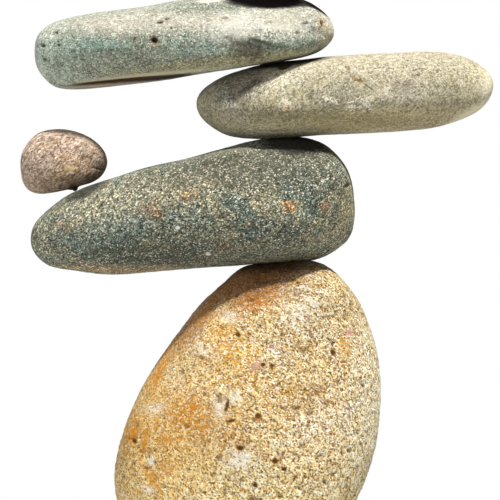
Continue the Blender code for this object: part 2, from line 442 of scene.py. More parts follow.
@dataclass(frozen=True)
class Finish:
    """A stone's finish, from its ground colour up to its finest grain and the veils over it.

    The grains lie stretched along a way seen face-on, in degrees from level.  The crumb is the
    size of the clumps a crumbly patch breaks into, in millimetres.  Some patches laid before and
    after the grain are painted light and shade rather than the stone's own colour.
    """

    name: str
    ground: Colour
    drifts: tuple[Drift, ...]
    stains_and_light: tuple[StainAndLight, ...]
    grains: tuple[Grains, ...]
    specks: tuple[Drift, ...]
    veils: tuple[StainAndLight, ...]
    pit_colour: Colour
    roughness: float
    polish: float
    relief: float
    way: float = 0.0
    stretch: float = 1.0
    crumb: float = 1.9

    def material(self, front: float) -> bpy.types.Material:
        """Build the finish.

        Args:
            front: Y of the stone's front in millimetres, where its patches of colour lie.

        Returns:
            The material.
        """
        material = bpy.data.materials.new(self.name)
        material.use_nodes = True
        bench = Bench(material.node_tree)
        shader = material.node_tree.nodes["Principled BSDF"]
        place = bench.add("ShaderNodeTexCoord").outputs["Object"]
        drawn = bench.add(
            "ShaderNodeMapping",
            {"vector_type": "TEXTURE"},
            Vector=place,
            Rotation=(0.0, -math.radians(self.way), 0.0),
            Scale=(self.stretch, 1.0, 1.0),
        ).outputs["Vector"]
        broad = self._noise(bench, place, BROAD, detail=4.0)
        fine = self._noise(bench, drawn, FINE, detail=2.0)
        clumps = self._noise(bench, drawn, self.crumb, detail=3.0)
        loose = bench.calc("MULTIPLY_ADD", fine, LOOSE_SHARE, LOOSE_SHIFT)
        crumbled = bench.calc("MULTIPLY_ADD", clumps, CLUMP_SHARE, loose)
        edges = {False: broad, True: crumbled}
        colour: object = self.ground
        for drift in self.drifts:
            colour = self._drifted(bench, place, colour, drift)[0]
        # Patches laid before the grain: the stone's own colour, and some painted shade and light.
        for daub in self.stains_and_light:
            colour = self._stained_and_lit(bench, place, colour, daub, edges[daub.crumbly], front)
        colour, height = self._minerals(bench, drawn, colour)
        for speck in self.specks:
            colour, mask = self._drifted(bench, drawn, colour, speck)
            height = bench.calc("MULTIPLY_ADD", mask, speck.lift, height)
        # Veils over the grain: the stone's own colour, and some painted shadows, shade and
        # highlights.
        for veil in self.veils:
            colour = self._stained_and_lit(bench, place, colour, veil, edges[veil.crumbly], front)
        # The hollow attribute darkens pits, slits and the slab's groove: grime, and painted shade.
        hollow = bench.add("ShaderNodeAttribute", {"attribute_name": HOLLOW}).outputs["Fac"]
        colour = bench.blend(colour, self.pit_colour, bench.calc("ADD", hollow, 0.0, clamp=True))
        bench.feed(shader.inputs["Base Color"], colour)
        dull = bench.calc("MULTIPLY_ADD", broad, -2.0 * self.polish, self.roughness + self.polish)
        bench.feed(shader.inputs["Roughness"], dull)
        shader.inputs["Metallic"].default_value = 0.0
        shader.inputs["Specular IOR Level"].default_value = SPECULAR
        shader.inputs["Diffuse Roughness"].default_value = DIFFUSE_ROUGHNESS
        height = bench.calc("MULTIPLY_ADD", fine, FINE_RISE, height)
        bump = bench.add("ShaderNodeBump", Height=height, Strength=1.0, Distance=self.relief * MM)
        bench.feed(shader.inputs["Normal"], bump.outputs["Normal"])
        return material

    @staticmethod
    def _noise(bench: Bench, place: Socket, size: float, detail: float) -> Socket:
        """Plain noise of one size."""
        return bench.add(
            "ShaderNodeTexNoise", Vector=place, Scale=1.0 / (size * MM), Detail=detail, Roughness=0.7
        ).outputs["Fac"]

    @staticmethod
    def _stained_and_lit(
        bench: Bench, place: Socket, colour: object, daub: StainAndLight, wobble: Socket, front: float
    ) -> Socket:
        """Lay one stain over a colour.

        Args:
            bench: The material's bench.
            place: The point in the stone's own coordinates.
            colour: The colour underneath.
            daub: The patch of colour; some patches are painted shade and some painted light.
            wobble: The noise that frays its edge.
            front: Y of the stone's front in millimetres.

        Returns:
            The colour with the patch laid over it.
        """
        middle = (daub.x, front if daub.y is None else daub.y, daub.z)
        mask = PATCH.place(
            bench,
            Vector=place,
            Middle=tuple(c * MM for c in middle),
            Turn=(0.0, -math.radians(daub.across), 0.0),
            Reach=(daub.long * MM, daub.deep * MM, daub.wide * MM),
            Wobble=wobble,
            Ragged=daub.ragged,
            Soft=daub.soft,
        ).outputs["Mask"]
        return bench.blend(colour, daub.colour, bench.calc("MULTIPLY", mask, daub.strength))

    def _minerals(self, bench: Bench, place: Socket, colour: Socket) -> tuple[Socket, object]:
        """Lay the grains of each size over a colour.

        Args:
            bench: The material's bench.
            place: The point, drawn out along the stone's grain.
            colour: The colour underneath.

        Returns:
            The grained colour, and how high each grain stands.
        """
        height: object = 0.0
        for grains in self.grains:
            crowd = MINERALS.place(
                bench, Vector=place, Size=grains.size, Warp=grains.warp, Seed=grains.seed
            ).outputs
            ramp = bench.add("ShaderNodeValToRGB", Fac=crowd["Pick"])
            ramp.color_ramp.interpolation = "CONSTANT"
            start = 0.0
            for index, (share, tint) in enumerate(grains.tints):
                elements = ramp.color_ramp.elements
                element = elements[index] if index < 2 else elements.new(start)
                element.position = start
                element.color = (*(part / TINT_TOP for part in tint), 1.0)
                start += share
            tinted = bench.aim("MULTIPLY", colour, ramp.outputs["Color"])
            tinted = bench.grow(tinted, TINT_TOP)
            share = bench.calc("MULTIPLY_ADD", crowd["Tint"], 1.0 - TINT_LEAST, TINT_LEAST)
            share = bench.calc("MULTIPLY", share, grains.strength)
            colour = bench.blend(colour, tinted, share)
            seam = bench.calc("MULTIPLY", crowd["Seam"], grains.seam)
            colour = bench.blend(colour, self.pit_colour, seam)
            height = bench.calc("MULTIPLY_ADD", crowd["Dome"], grains.size / 2, height)
        return colour, height

    @staticmethod
    def _drifted(
        bench: Bench, place: Socket, colour: object, drift: Drift
    ) -> tuple[Socket, Socket]:
        """Lay one drift over a colour.

        Args:
            bench: The material's bench.
            place: The point that the drift's noise is read at.
            colour: The colour underneath.
            drift: The drift.

        Returns:
            The new colour, and where the drift shows.
        """
        mask = DRIFT.place(
            bench,
            Vector=place,
            Size=drift.size,
            Low=drift.low,
            High=drift.high,
            Detail=drift.detail,
            Seed=drift.seed,
        ).outputs["Vein" if drift.vein else "Mask"]
        return bench.blend(colour, drift.colour, bench.calc("MULTIPLY", mask, drift.strength)), mask


# ------------------------------
# Skins
# ------------------------------

# The hollow attribute holds how dark each point is painted in pits, slits and grooves: grime, and
# painted shade.
HOLLOW = "hollow"  # the attribute that says how deep in a pit each point of a skin lies
WELD = 0.01 * MM  # points closer than this are one
FORM_LEVELS = 3  # how often a stone's form is smoothed
PIT_SLOPE = 0.25  # the noise over which a pit reaches its full depth
# Open pits are painted darker: grime, and painted shade in the hollow.
PIT_DIRT_AND_SHADE = 0.6  # how dark an open pit is
MARK_EDGE = 1.5  # the power that rounds a mark's edge
MARK_FACING = 4.0  # how fast a mark comes in on what faces its side
DIRT_AND_SHADE_SPREAD = 1.6  # how far a mark's dirt reaches out towards its edge


class Side(Enum):
    """The side of a stone that a mark lies on, as the way that side faces."""

    FRONT = (0.0, -1.0, 0.0)
    UNDER = (0.0, 0.0, -1.0)
    TOP = (0.0, 0.0, 1.0)


@dataclass(frozen=True)
class Mark:
    """A dent, slit or groove, seen face-on; a negative depth makes a ridge.

    Its place is given along X and Z, or along X and Y on the top and underneath.  A straight
    one moves the surface straight in or out instead of square to itself.
    """

    x: float
    z: float
    long: float
    wide: float
    depth: float
    across: float = 0.0
    # How dark the mark is painted: grime in pits and slits, painted shade in the slab's undercut
    # groove.
    dirt_and_shade: float = 0.0
    side: Side = Side.FRONT
    straight: bool = False

    def cover(self, points: np.ndarray, normals: np.ndarray) -> np.ndarray:
        """How strongly the mark acts on each point.

        Args:
            points: The skin's points in millimetres.
            normals: The outward direction at each.

        Returns:
            1 in the mark's middle, falling smoothly to 0 at its edge.
        """
        turn = math.radians(self.across)
        rise = points[:, 1 if self.side in (Side.UNDER, Side.TOP) else 2]
        right, up = points[:, 0] - self.x, rise - self.z
        along = (right * math.cos(turn) + up * math.sin(turn)) / self.long
        aside = (up * math.cos(turn) - right * math.sin(turn)) / self.wide
        inside = np.clip(1.0 - along**2 - aside**2, 0.0, 1.0)
        facing = np.clip(normals @ np.array(self.side.value) * MARK_FACING, 0.0, 1.0)
        return inside**MARK_EDGE * facing


@dataclass(frozen=True)
class Wear:
    """How a stone's surface is worn: height and size of its lumps, waves, grain and pits."""

    lumps: tuple[float, float]
    waves: tuple[float, float]
    grain: tuple[float, float]
    pits: tuple[float, float, float]  # depth, size, and the noise above which a pit opens
    seed: float


class Skin:
    """A fine closed mesh on the form of one imported stone."""

    def __init__(self, node: str, cell: float) -> None:
        """Throw a rounded grid onto the stone's smoothed form.

        Args:
            node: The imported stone's name.
            cell: The side of a grid cell in millimetres.
        """
        self.node = node
        low, high = (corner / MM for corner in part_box(node))
        self.middle, self.half = (low + high) / 2, (high - low) / 2
        self.bm = self._grid([max(2, round(2 * h / cell)) for h in self.half])
        self._throw()

    @staticmethod
    def _grid(counts: list[int]) -> bmesh.types.BMesh:
        """A cube from -1 to 1 whose sides are cut into cells.

        Args:
            counts: The number of cells along X, Y and Z.

        Returns:
            The cube.
        """
        bm = bmesh.new()
        bmesh.ops.create_cube(bm, size=2.0)
        for axis, count in enumerate(counts):
            along = [
                e for e in bm.edges if abs(e.verts[0].co[axis] - e.verts[1].co[axis]) > 1.0
            ]
            bmesh.ops.subdivide_edges(bm, edges=along, cuts=count - 1, use_grid_fill=True)
        return bm

    def _form(self) -> BVHTree:
        """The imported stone, merged and smoothed, ready to be hit by rays.

        Returns:
            The search tree of the smoothed form.
        """
        bm = bmesh.new()
        bm.from_mesh(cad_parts[self.node].data)
        bmesh.ops.remove_doubles(bm, verts=bm.verts, dist=WELD)
        bmesh.ops.join_triangles(
            bm, faces=bm.faces, angle_face_threshold=0.7, angle_shape_threshold=0.9
        )
        crease = bm.edges.layers.float.new("crease_edge")
        for edge in bm.edges:
            if all(v.co.z < WELD for v in edge.verts):
                edge[crease] = 1.0
        mesh = bpy.data.meshes.new("form")
        bm.to_mesh(mesh)
        bm.free()
        form = bpy.data.objects.new("form", mesh)
        bpy.context.scene.collection.objects.link(form)
        smooth = form.modifiers.new("smooth", "SUBSURF")
        smooth.levels = smooth.render_levels = FORM_LEVELS
        tree = BVHTree.FromObject(form, bpy.context.evaluated_depsgraph_get())
        bpy.data.objects.remove(form)
        bpy.data.meshes.remove(mesh)
        return tree

    def _throw(self) -> None:
        """Round the grid and move each of its points out onto the form."""
        form = self._form()
        middle = self.middle * MM
        for v in self.bm.verts:
            x, y, z = (c * c for c in v.co)
            out = Vector(
                (
                    v.co.x * math.sqrt(1 - y / 2 - z / 2 + y * z / 3) * self.half.x,
                    v.co.y * math.sqrt(1 - z / 2 - x / 2 + z * x / 3) * self.half.y,
                    v.co.z * math.sqrt(1 - x / 2 - y / 2 + x * y / 3) * self.half.z,
                )
            ).normalized()
            v.co = form.ray_cast(middle, out)[0]
        self.bm.normal_update()

    def weather(self, wear: Wear, marks: tuple[Mark, ...]) -> None:
        """Wear the skin: lumps, waves, grain, open pits and the stone's own marks.

        Args:
            wear: The stone's general wear.
            marks: Its dents, slits and grooves.
        """
        points = np.array([v.co[:] for v in self.bm.verts]) / MM
        normals = np.array([v.normal[:] for v in self.bm.verts])
        heights = np.zeros(len(points))
        for height, size in (wear.lumps, wear.waves):
            heights += height * self._noise(points, size, wear.seed)
        height, size = wear.grain
        coarse = self._noise(points, size, wear.seed + 7.0)
        grain = coarse + 0.5 * self._noise(points, size * 0.55, wear.seed + 11.0)
        heights += height * grain
        depth, size, level = wear.pits
        over = self._noise(points, size, wear.seed + 17.0) - level
        open_pits = np.clip(over / PIT_SLOPE, 0.0, 1.0)
        heights -= depth * open_pits
        dirt_and_shade = PIT_DIRT_AND_SHADE * open_pits
        moves = np.zeros_like(points)
        for mark in marks:
            cover = mark.cover(points, normals)
            if mark.straight:
                moves -= mark.depth * cover[:, None] * np.array(mark.side.value)
            else:
                heights -= mark.depth * cover
            dirt_and_shade = np.maximum(dirt_and_shade, mark.dirt_and_shade * np.clip(cover * DIRT_AND_SHADE_SPREAD, 0.0, 1.0))
        points = (points + moves + normals * heights[:, None]) * MM
        points[:, 2] = np.maximum(points[:, 2], 0.0)
        layer = self.bm.verts.layers.float.new(HOLLOW)
        for v, place, depth in zip(self.bm.verts, points, dirt_and_shade):
            v.co = place
            v[layer] = depth

    @staticmethod
    def _noise(points: np.ndarray, size: float, seed: float) -> np.ndarray:
        """Smooth noise at each point, about -1 to 1."""
        shift = np.array((seed, seed * 0.37, -seed * 0.73))
        return np.array([noise.noise(Vector(p)) for p in points / size + shift])

    def finish(self, material: bpy.types.Material) -> bpy.types.Object:
        """Turn the skin into a shown piece that stands for its stone.

        Args:
            material: The piece's material.

        Returns:
            The piece.
        """
        mesh = bpy.data.meshes.new(self.node + "_skin")
        self.bm.to_mesh(mesh)
        self.bm.free()
        mesh.shade_smooth()
        mesh.materials.append(material)
        piece = bpy.data.objects.new(self.node + "_skin", mesh)
        bpy.context.scene.collection.objects.link(piece)
        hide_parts(self.node)
        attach(piece, "root")
        return piece


@dataclass(frozen=True)
class Stone:
    """One stone of the cairn: its fineness, its wear, its marks and its finish."""

    node: str
    cell: float
    wear: Wear
    marks: tuple[Mark, ...]
    finish: Finish

    def build(self) -> bpy.types.Object:
        """Make the stone's skin and dress it.

        Returns:
            The shown piece.
        """
        skin = Skin(self.node, self.cell)
        skin.weather(self.wear, self.marks)
        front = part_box(self.node)[0].y / MM
        return skin.finish(self.finish.material(front))


# ------------------------------
# The six stones
# ------------------------------

QUARTZ = (0.97, 0.93, 0.81)
# Near black: small dark spots, and painted shadow and shade at contacts and in the slab's groove.
NEAR_BLACK = (0.022, 0.018, 0.018)
CHALK = (0.96, 0.93, 0.82)

BUFF = Finish(
    name="buff_stone",
    ground=(0.865, 0.646, 0.248),
    drifts=(
        Drift((0.8, 0.65, 0.38), 24, 0.44, 0.6, 0.8, 1),
        Drift((0.76, 0.5, 0.17), 13, 0.54, 0.66, 0.7, 2),
        Drift((0.6, 0.54, 0.36), 10, 0.56, 0.66, 0.6, 3),
        Drift((0.66, 0.38, 0.08), 3.4, 0.54, 0.61, 0.6, 7),
        Drift((0.98, 0.86, 0.58), 4, 0.55, 0.62, 0.6, 8),
        Drift((0.4, 0.22, 0.05), 1.9, 0.6, 0.64, 0.75, 9),
    ),
    stains_and_light=(
        Cloud(-53, 92, 44, 12, (0.86, 0.52, 0.12), 0.75, 70, deep=90),
        Cloud(-31, 86, 22, 15, (0.7, 0.46, 0.14), 0.7, -10),
        StainAndLight(-38.5, 115, 15, 7, (0.62, 0.58, 0.4), 0.7, 60, soft=0.7),
        StainAndLight(-21, 82, 9, 6, (0.54, 0.46, 0.27), 0.6, soft=0.7),
        StainAndLight(-8, 63.5, 13, 10, (0.54, 0.5, 0.35), 0.7, soft=0.6),
        Cloud(31, 140, 24, 22, (0.8, 0.68, 0.4), 0.45, -35),
        Cloud(46, 84, 20, 34, (0.94, 0.8, 0.54), 0.5, -8),
        # Painted light: the right edge is lightened, where the key light falls.
        Cloud(58, 105, 8, 48, (1, 0.9, 0.62), 0.7, -4, deep=90),
        StainAndLight(29, 102, 15, 6, (0.56, 0.4, 0.18), 0.5, 20, soft=0.7),
        StainAndLight(-50, 84, 34, 60, (1, 0.64, 0.15), 0.4, -12, deep=90, soft=0.9),
        # Painted light: the right edge lightened further.
        StainAndLight(62, 96, 14, 52, (1, 0.9, 0.54), 0.9, -4, deep=90, soft=0.9),
        StainAndLight(0, 44, 70, 26, (1, 0.83, 0.38), 0.65, deep=90, soft=0.9),
        # Darker brown top and left flank under the wedge: rust colour, partly the wedge's painted
        # shadow.
        StainAndLight(-3, 161, 30, 11, (0.28, 0.1, 0.018), 0.65, 14, deep=90, soft=0.6),
        StainAndLight(-31, 138.5, 19, 5, (0.42, 0.17, 0.035), 0.6, 52, deep=90, soft=0.6),
    ),
    grains=(
        Grains(2, ((0.3, (1, 1, 0.95)), (0.28, (1.12, 1.18, 1.4)), (0.26, (0.8, 0.66, 0.4)),
               (0.16, (1.22, 1.32, 1.7))), 0.85, 1, seam=0.22),
        Grains(0.82, ((0.26, (1, 0.97, 0.88)), (0.28, (1.22, 1.32, 1.6)), (0.2, (0.6, 0.38, 0.12)),
               (0.18, (1.45, 1.7, 2.5)), (0.08, (0.2, 0.1, 0.025))), 1, 2, seam=0.12),
    ),
    specks=(
        Drift((1, 0.97, 0.82), 0.82, 0.545, 0.582, 0.95, 6, 1, lift=0.9),
        Drift((0.21, 0.085, 0.012), 0.8, 0.578, 0.612, 0.95, 5, 1, lift=-0.8),
    ),
    veils=(
        StainAndLight(-52, 84, 32, 60, (0.86, 0.55, 0.15), 0.26, -12, deep=90, soft=0.9),
        Flakes(-30.5, 133, 5.4, 4.1, QUARTZ, 0.95, 20),
        Flakes(-26, 126, 8.1, 4.6, QUARTZ, 0.95, -25),
        Flakes(22, 145, 12.2, 8.1, QUARTZ, 0.85, 20, ragged=7, deep=90),
        Flakes(-11, 101, 5.4, 4.1, QUARTZ, 0.95, 60),
        Flakes(-13.5, 141.5, 6.8, 4.7, QUARTZ, 0.95, -15, deep=90),
        Flakes(-19, 96.5, 6.1, 8.8, QUARTZ, 0.95, 10, ragged=6),
        Flakes(-8.5, 71, 8.8, 6.8, QUARTZ, 0.95),
        Flakes(-52.5, 70, 3, 3, QUARTZ, 0.95, ragged=4, deep=90),
        Flakes(-54, 55.5, 3.5, 3, QUARTZ, 0.95, ragged=4, deep=90),
        Flakes(-50, 96, 7.4, 4.7, QUARTZ, 0.95, ragged=6, deep=90),
        Crumbs(-12.5, 96, 3, 5.2, (0.42, 0.36, 0.24), 0.75, soft=0.4, ragged=7),
        Crumbs(-15, 131, 12.2, 16.2, (0.78, 0.4, 0.05), 0.95, 20, ragged=9),
        Crumbs(0, 149.5, 14.9, 6.1, (0.65, 0.25, 0.02), 0.95, 14, ragged=6, deep=90),
        Crumbs(-24.5, 142.5, 5, 3, (0.6, 0.28, 0.06), 0.75, 40, deep=90),
        Crumbs(-49, 114, 14.9, 3.5, (0.76, 0.35, 0.04), 0.95, 65, ragged=4, deep=90),
        Crumbs(-62.5, 83.5, 10.8, 4.3, (0.76, 0.3, 0.02), 0.95, 75, ragged=4, deep=90),
        Crumbs(-56, 80, 8.1, 2.4, (0.73, 0.32, 0.04), 0.95, 80, ragged=4, deep=90),
        Crumbs(-43.5, 80.5, 6.1, 2.4, (0.73, 0.32, 0.04), 0.95, ragged=4, deep=90),
        Crumbs(-33, 91, 21.6, 12.2, (0.69, 0.3, 0.04), 0.95, -15, ragged=9),
        Crumbs(-31.5, 96.5, 5.4, 3.5, (0.73, 0.3, 0.03), 0.95, 10),
        Crumbs(-52.5, 61.5, 8.1, 3, (0.74, 0.34, 0.04), 0.95, -60, ragged=4, deep=90),
        Crumbs(-45, 66, 6.8, 4.1, (0.71, 0.37, 0.07), 0.95, deep=90),
        Crumbs(43.5, 127.5, 3.5, 4.6, (0.8, 0.44, 0.06), 0.95, ragged=4, deep=90),
        Crumbs(27, 103.5, 12, 6.5, (0.48, 0.24, 0.07), 0.7, 10, ragged=9),
        Crumbs(1, 91, 3.4, 2.4, (0.48, 0.25, 0.06), 0.75, ragged=4),
        Crumbs(-9, 77, 3.4, 2, (0.48, 0.24, 0.06), 0.8, -20, ragged=4),
        Crumbs(11, 68, 4.5, 2.4, (0.48, 0.25, 0.06), 0.7, -30),
        Crumbs(1, 117.5, 4, 2.6, (0.7, 0.4, 0.38), 0.95),
        Crumbs(9, 126, 3, 1.8, (0.6, 0.34, 0.42), 0.95),
        Crumbs(46, 134, 2.4, 2.8, (0.8, 0.46, 0.38), 0.95, deep=90),
        # Next: the top darkened under the wedge, a painted near-black contact shadow under it, and
        # the left flank darkened; top and flank are rust colour, partly painted shadow.
        StainAndLight(-3, 161, 30, 11, (0.28, 0.1, 0.018), 0.72, 14, deep=90, soft=0.6),
        StainAndLight(8, 167, 26, 3.2, (0.05, 0.022, 0.008), 0.75, deep=90, soft=0.6),
        StainAndLight(-31, 138.5, 19, 5, (0.42, 0.17, 0.035), 0.5, 52, deep=90, soft=0.6),
    ),
    pit_colour=(0.2, 0.085, 0.015),
    roughness=0.85,
    polish=0.08,
    relief=0.9,
    way=-35,
    stretch=1.35,
)

BOULDER = Stone(
    node="buff_boulder",
    cell=1.07,
    wear=Wear((0.35, 24), (0.2, 7), (0.3, 2.4), (0.8, 3, 0.4), 3),
    marks=(
        Mark(18, 150, 40, 26, -3.5, 0, straight=True),
        Mark(42, 160, 26, 20, -7, 0, straight=True),
        Mark(13, 1, 26, 24, -0.9, 0, 0, Side.TOP),
        Mark(-9.5, 133, 1.8, 1.3, 1.2, -30, 1.8),
        Mark(38, 124, 1.5, 2, 1.2, 20, 1.8),
        Mark(3, 118, 1.3, 1.3, 1.2, 0, 1.9),
        Mark(7.5, 117.5, 1.2, 1, 1, 0, 1.8),
        Mark(0.5, 92.5, 1.8, 1.6, 1.3, 20, 1.8),
        Mark(-8.5, 76.5, 2.2, 1.5, 1.3, 0, 1.5),
        Mark(9, 70, 1.8, 1.4, 1.2, 0, 1.8),
        Mark(13.5, 66, 1.6, 1.2, 1.1, 0, 1.5),
        Mark(-1, 58.2, 1.4, 1.4, 1.2, 0, 1.9),
        Mark(-61.5, 80, 1.3, 2, 1.2, 30, 0.9),
        Mark(-15, 97.5, 4.6, 0.9, 1.1, 75, 1.5),
        Mark(-13, 90, 3.4, 0.8, 0.9, 10, 1.5),
        Mark(46, 75, 1.6, 1.6, 1.1, 0, 0.6),
        Mark(24, 62, 1.5, 1.2, 1, 0, 0.6),
        Mark(-28.5, 121.5, 6, 1.2, 0.8, -15, 0.3),
    ),
    finish=BUFF,
)

GREY_GREEN = Finish(
    name="grey_green_stone",
    ground=(0.248, 0.27, 0.198),
    drifts=(
        Drift((0.33, 0.308, 0.209), 20, 0.46, 0.62, 0.7, 11),
        Drift((0.143, 0.209, 0.198), 13, 0.54, 0.68, 0.7, 12),
        Drift((0.33, 0.242, 0.143), 6, 0.6, 0.7, 0.5, 13),
        Drift((0.06, 0.13, 0.13), 9, 0.52, 0.62, 0.6, 17),
        Drift((0.352, 0.209, 0.099), 3.6, 0.58, 0.66, 0.55, 18),
        Drift((0.418, 0.407, 0.286), 7, 0.55, 0.65, 0.5, 19),
    ),
    stains_and_light=(
        Cloud(-88.5, 178.5, 12, 7, (0.1, 0.26, 0.27), 0.75),
        Cloud(-69.5, 184, 13, 9, (0.1, 0.2, 0.205), 0.7),
        Cloud(-38.5, 192, 14, 6, (0.242, 0.308, 0.286), 0.5),
        Cloud(-1, 188, 9, 6, (0.11, 0.18, 0.18), 0.55),
        Cloud(24, 210, 15, 9, (0.11, 0.155, 0.155), 0.5),
        StainAndLight(-64.5, 169.5, 32, 4, (0.07, 0.09, 0.085), 0.65, -2, soft=0.7),
        Cloud(14, 180, 11, 8, (0.09, 0.1, 0.085), 0.45),
        StainAndLight(-41, 204, 30, 9, (0.44, 0.4, 0.27), 0.6, 14, soft=0.7),
        Cloud(-84.5, 195, 9, 6, (0.396, 0.385, 0.242), 0.45, 20),
        StainAndLight(-109, 181, 5, 8, (0.462, 0.451, 0.319), 0.55, 10, deep=60),
        StainAndLight(-58, 165, 52, 2.8, (0.418, 0.308, 0.165), 0.75, -2, deep=60),
        StainAndLight(18, 169.5, 30, 2.4, (0.374, 0.297, 0.176), 0.6, 4, deep=60),
        StainAndLight(44.5, 196, 22, 4, (0.418, 0.374, 0.231), 0.65, 82, deep=60),
        StainAndLight(16, 196.5, 3.4, 2.8, (0.572, 0.308, 0.121), 0.8),
        StainAndLight(-51, 194, 4.8, 2.6, (0.484, 0.297, 0.154), 0.65, -30),
        StainAndLight(34, 196.5, 2.6, 2, (0.4, 0.19, 0.1), 0.5),
        StainAndLight(-77, 199, 3.2, 2.4, (0.44, 0.297, 0.165), 0.55),
        StainAndLight(-33.5, 202.5, 5, 2.6, (0.528, 0.363, 0.198), 0.6),
        StainAndLight(-97.5, 187.5, 3, 2, (0.506, 0.297, 0.143), 0.55),
        StainAndLight(-16, 177.5, 3.2, 2.4, (0.418, 0.264, 0.143), 0.55),
        StainAndLight(-4, 187.5, 2, 1.8, (0.38, 0.23, 0.13), 0.5),
        StainAndLight(5, 193, 2, 1.4, (0.42, 0.23, 0.12), 0.45),
        StainAndLight(-52.5, 203.5, 1.6, 0.9, (0.8, 0.78, 0.68), 0.75),
        Cloud(-86, 191, 32, 14, (0.56, 0.54, 0.42), 0.55, 30),
        # Painted shade: a dark band along the underside, which turns away from the light.
        Cloud(-40, 171, 62, 8, (0.065, 0.075, 0.057), 0.8, -1),
        Cloud(0, 219, 50, 12, (0.105, 0.105, 0.075), 0.8, 4),
    ),
    grains=(
        Grains(1.5, ((0.36, (0.75, 0.78, 0.78)), (0.3, (1.15, 1.15, 1.15)),
               (0.18, (1.5, 1.48, 1.35)), (0.08, (2, 1.95, 1.8)), (0.08, (1.5, 0.95, 0.65))),
               0.55, 3, seam=0.15),
        Grains(0.8, ((0.38, (0.5, 0.55, 0.55)), (0.24, (1.1, 1.1, 1.1)), (0.2, (1.9, 1.85, 1.75)),
               (0.09, (3.2, 3.1, 3)), (0.09, (0.18, 0.2, 0.2))), 1, 4, seam=0.3),
    ),
    specks=(
        Drift((0.022, 0.028, 0.024), 0.75, 0.56, 0.61, 0.85, 15, 1, lift=-0.7),
        Drift((1, 0.95, 0.84), 0.66, 0.612, 0.645, 0.97, 16, 1, lift=0.5),
    ),
    veils=(
        StainAndLight(-39.5, 186, 1.2, 0.9, (1, 1, 0.94), 0.92, ragged=0.9, soft=0.25),
        StainAndLight(-24.5, 173, 1.5, 1, (1, 0.98, 0.88), 0.92, ragged=1.2, soft=0.25),
        StainAndLight(-61, 189.5, 2.2, 1, (0.62, 0.64, 0.62), 0.6, ragged=2),
        # Painted shade along the underside, as above.
        Cloud(-40, 171, 62, 8, (0.115, 0.13, 0.1), 0.28, -1),
        Cloud(0, 219, 50, 9, (0.26, 0.26, 0.2), 0.22, 8),
        # Painted shadows: the oval's near-black contact shadow on the top, then the pebble's shadow
        # on the nose.
        StainAndLight(20, 228.5, 19, 6.4, (0.03, 0.027, 0.022), 0.92, -2, soft=0.3, ragged=0.9, deep=90),
        StainAndLight(-85, 204.8, 13, 3, (0.035, 0.035, 0.03), 0.85, 27, soft=0.5, ragged=0.6, deep=90),
    ),
    pit_colour=(0.03, 0.033, 0.028),
    roughness=0.82,
    polish=0.08,
    relief=0.4,
    way=25,
    crumb=1.6,
    stretch=1.3,
)

WEDGE = Stone(
    node="grey_wedge_cobble",
    cell=0.86,
    wear=Wear((0.3, 20), (0.13, 6), (0.09, 2), (0.25, 2.8, 0.5), 5),
    marks=(
        Mark(42, 212, 24, 26, -7.5, 0, straight=True),
        Mark(34, 170, 34, 15, 7, 4, straight=True),
        Mark(8, 1, 22, 26, -1.2, 0, 0, Side.TOP),
        Mark(42, 214, 18, 10, -7, -56, straight=True),
        Mark(-17, 226, 20, 8, -7, 17, straight=True),
        Mark(30, 0, 12, 30, -0.9, 0, 0, Side.UNDER),
        Mark(45.5, 207.5, 3, 0.9, 0.9, 35, 0.9),
        Mark(-39.5, 186, 1.3, 1, -0.3),
    ),
    finish=GREY_GREEN,
)

BROWN = Finish(
    name="brown_stone",
    ground=(0.6, 0.435, 0.318),
    drifts=(
        Drift((0.487, 0.383, 0.322), 9, 0.46, 0.6, 0.6, 21),
        Drift((0.522, 0.339, 0.191), 7, 0.54, 0.66, 0.6, 22),
    ),
    stains_and_light=(
        StainAndLight(-81, 228, 11, 7, (0.62, 0.46, 0.34), 0.85, -40, soft=0.7),
        StainAndLight(-98, 213.5, 2, 1.1, (0.739, 0.557, 0.244), 0.8, 10),
        Cloud(-93, 212, 16, 7, (0.38, 0.235, 0.12), 0.75, 30),
        Cloud(-110, 215, 5, 7, (0.487, 0.365, 0.252), 0.5),
    ),
    grains=(
        Grains(1.4, ((0.34, (0.95, 0.92, 0.88)), (0.26, (1.3, 1.4, 1.5)), (0.2, (0.7, 0.66, 0.66)),
               (0.16, (1.5, 1.62, 1.75)), (0.04, (1.15, 0.92, 0.65))), 0.75, 5, seam=0.25),
        Grains(0.7, ((0.34, (0.95, 0.92, 0.88)), (0.28, (1.35, 1.45, 1.55)),
               (0.22, (0.55, 0.48, 0.46)), (0.16, (1.6, 1.8, 2))), 1, 6, seam=0.3),
    ),
    specks=(
        Drift((0.14, 0.07, 0.045), 0.75, 0.6, 0.66, 0.6, 25, 1, lift=-0.4),
        Drift((0.87, 0.783, 0.661), 0.75, 0.55, 0.61, 0.8, 26, 1, lift=0.4),
    ),
    veils=(
        Crumbs(-95, 215, 7, 3.4, (0.85, 0.64, 0.3), 0.6, 30, ragged=9),
        # Painted light: the top right edge lightened where the slab's shadow falls.
        StainAndLight(-79, 230, 16, 4, (0.95, 0.76, 0.58), 0.6, -32, soft=0.7, deep=90),
        # Painted shade: the dark knob under the pebble.
        StainAndLight(-91.8, 206, 2.6, 2.2, (0.05, 0.035, 0.025), 0.9, soft=0.4, y=1),
        Cloud(-96, 208, 22, 4, (0.226, 0.157, 0.104), 0.45, 6, deep=90),
    ),
    pit_colour=(0.07, 0.045, 0.035),
    roughness=0.85,
    polish=0.06,
    relief=0.4,
    way=35,
    crumb=1.5,
    stretch=2.2,
)

PEBBLE = Stone(
    node="brown_pebble",
    cell=0.48,
    wear=Wear((0.1, 12), (0.04, 4.5), (0.04, 1.8), (0.05, 1.9, 0.46), 9),
    marks=(
        Mark(-79, 229, 20, 13, -5, -30, straight=True),
        Mark(-78.5, 215.5, 5.5, 0.9, 0.5, -12, 0.4),
        Mark(-91.8, 1, 3, 3, -0.9, 0, 0, Side.UNDER),
    ),
    finish=BROWN,
)

